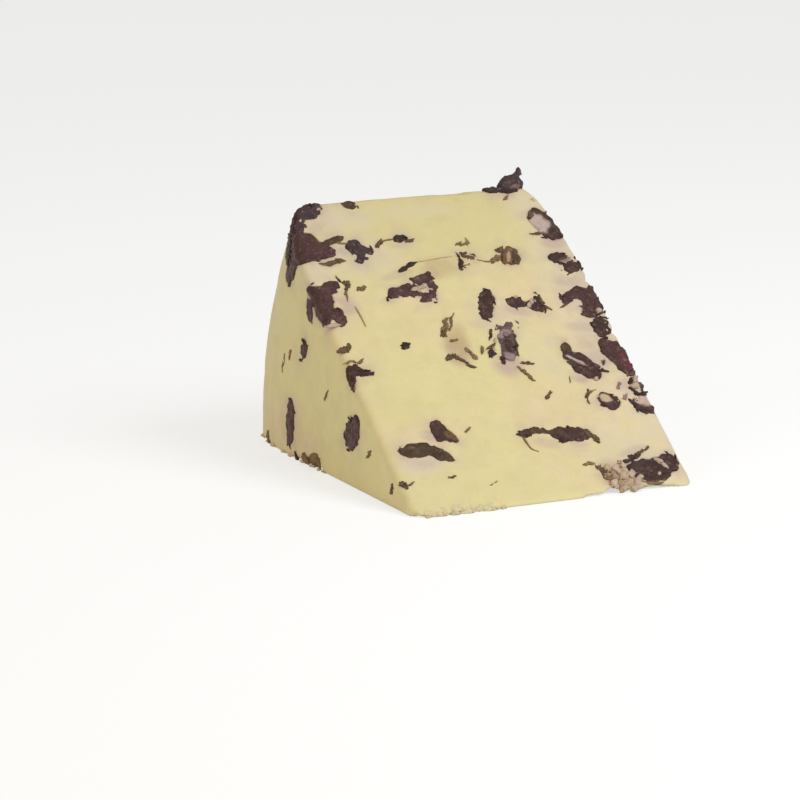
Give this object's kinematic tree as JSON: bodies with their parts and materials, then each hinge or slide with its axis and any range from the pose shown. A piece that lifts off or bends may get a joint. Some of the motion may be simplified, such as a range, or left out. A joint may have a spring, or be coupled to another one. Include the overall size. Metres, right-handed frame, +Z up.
{
  "type": "fruit cheese wedge",
  "caption": "Wedge of pale crumbly cheese with dark dried fruit, lying on one cut face, the other cut face leaning back to a ridge.",
  "frame": {"origin": "on the base, under the middle of the whole object's box", "axes": "+X along the wheel's axis, to the right as seen from the sloping cut face; +Y back from the sharp front edge to the rim; +Z up"},
  "size_m": [0.0698, 0.0922, 0.0604],
  "materials": {
    "cheese": "soft matte, slightly moist",
    "dark_fruit": "wrinkled, slightly sticky",
    "brown_fruit": "wrinkled, slightly sticky"
  },
  "bodies": {
    "root": {"cheese": "cheese", "fruit_front_01": "dark_fruit", "fruit_front_02": "dark_fruit", "fruit_front_03": "dark_fruit", "fruit_front_04": "dark_fruit", "fruit_front_05": "dark_fruit", "fruit_front_06": "dark_fruit", "fruit_front_07": "dark_fruit", "fruit_front_08": "dark_fruit", "fruit_front_09": "dark_fruit", "fruit_front_10": "dark_fruit", "fruit_front_11": "dark_fruit", "fruit_front_12": "dark_fruit", "fruit_front_13": "dark_fruit", "fruit_front_14": "dark_fruit", "fruit_front_15": "dark_fruit", "fruit_front_16": "dark_fruit", "fruit_front_17": "brown_fruit", "fruit_front_18": "brown_fruit", "fruit_front_19": "dark_fruit", "fruit_front_20": "dark_fruit", "fruit_front_21": "dark_fruit", "fruit_front_22": "dark_fruit", "fruit_front_23": "dark_fruit", "fruit_front_24": "dark_fruit", "fruit_front_25": "dark_fruit", "fruit_front_26": "brown_fruit", "fruit_front_27": "dark_fruit", "fruit_front_28": "brown_fruit", "fruit_left_01": "dark_fruit", "fruit_left_02": "dark_fruit", "fruit_left_03": "dark_fruit", "fruit_left_04": "brown_fruit", "fruit_right_01": "dark_fruit", "fruit_right_02": "dark_fruit", "fruit_right_03": "dark_fruit", "fruit_right_04": "dark_fruit", "fruit_right_05": "dark_fruit", "fruit_right_06": "dark_fruit", "fruit_rim_01": "dark_fruit", "fruit_rim_02": "dark_fruit", "fruit_rim_03": "dark_fruit", "fruit_rim_04": "dark_fruit", "fruit_rim_05": "dark_fruit", "fruit_rim_06": "dark_fruit", "fruit_rim_07": "dark_fruit", "fruit_rim_08": "dark_fruit", "fruit_rim_09": "dark_fruit", "fruit_under_01": "dark_fruit", "fruit_under_02": "dark_fruit", "fruit_under_03": "dark_fruit", "fruit_under_04": "dark_fruit", "fruit_under_05": "dark_fruit"}
  },
  "joints": []
}
